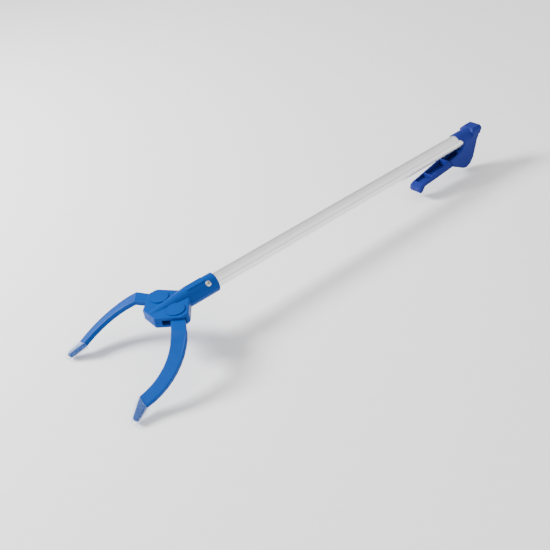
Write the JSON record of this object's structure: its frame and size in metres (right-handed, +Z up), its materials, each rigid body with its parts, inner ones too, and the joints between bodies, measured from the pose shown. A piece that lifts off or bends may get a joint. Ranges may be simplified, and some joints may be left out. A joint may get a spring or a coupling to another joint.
{
  "type": "reacher grabber",
  "caption": "Long-handled reaching tool: squeeze trigger pulls a rod through an aluminium shaft to close two curved jaws with soft clear tips.",
  "frame": {"origin": "middle of the tool's box, on the level of the lowest points of the two tip boots", "axes": "+X along the shaft towards the handle, +Y to the user's right when the jaws point away, +Z up, away from the trigger"},
  "size_m": [0.8026, 0.2094, 0.0817],
  "materials": {
    "blue_plastic": "moulded azure blue plastic with a soft gloss",
    "aluminium": "satin anodised, brushed along the shaft",
    "steel": "plain zinc-plated steel",
    "rivet_steel": "bright domed rivet",
    "white_nylon": "natural nylon",
    "clear_vinyl": "soft translucent vinyl, slightly milky"
  },
  "bodies": {
    "body": {"head_upper_shell": "blue_plastic", "head_lower_shell": "blue_plastic", "jaw_pivot_left": "steel", "jaw_pivot_right": "steel", "return_spring": "steel", "rod_guide_bush": "white_nylon", "head_screw_left_1": "steel", "head_screw_left_2": "steel", "head_screw_right_1": "steel", "head_screw_right_2": "steel", "socket_rivet_upper": "rivet_steel", "socket_rivet_lower": "rivet_steel", "shaft_tube": "aluminium", "handle_shell_left": "blue_plastic", "handle_shell_right": "blue_plastic", "trigger_pivot_pin": "steel", "handle_screw_1": "steel", "handle_screw_2": "steel", "handle_screw_3": "steel"},
    "rod": {"pull_yoke": "white_nylon", "drive_pin_left": "steel", "drive_pin_right": "steel", "pull_rod": "steel", "rod_clevis": "white_nylon", "clevis_pin": "steel"},
    "left_jaw": {"jaw_left": "blue_plastic", "tip_boot_left": "clear_vinyl"},
    "right_jaw": {"jaw_right": "blue_plastic", "tip_boot_right": "clear_vinyl"},
    "trigger": {"trigger": "blue_plastic"}
  },
  "joints": [
    {"name": "trigger_hinge", "type": "hinge", "parent": "body", "child": "trigger", "pos_m": [0.36775, 0, 0.03601], "axis": [0, 1, 0], "range_deg": [0, 11.4], "stiffness_Nm_per_rad": 1.2, "springref_deg": -6.88},
    {"name": "rod_slide", "type": "slide", "parent": "body", "child": "rod", "axis": [1, 0, 0], "range_m": [0, 0.00597], "deforming": ["return_spring"]},
    {"name": "left_jaw_hinge", "type": "hinge", "parent": "body", "child": "left_jaw", "pos_m": [-0.26125, -0.022, 0.06601], "axis": [0, 0, -1], "range_deg": [0, 34.4]},
    {"name": "right_jaw_hinge", "type": "hinge", "parent": "body", "child": "right_jaw", "pos_m": [-0.26125, 0.022, 0.06601], "axis": [0, 0, 1], "range_deg": [0, 34.4]}
  ],
  "couplings": [
    {"joint": "rod_slide", "follows": "trigger_hinge", "m_per_rad": 0.0298},
    {"joint": "left_jaw_hinge", "follows": "trigger_hinge", "ratio": 3},
    {"joint": "right_jaw_hinge", "follows": "trigger_hinge", "ratio": 3}
  ]
}
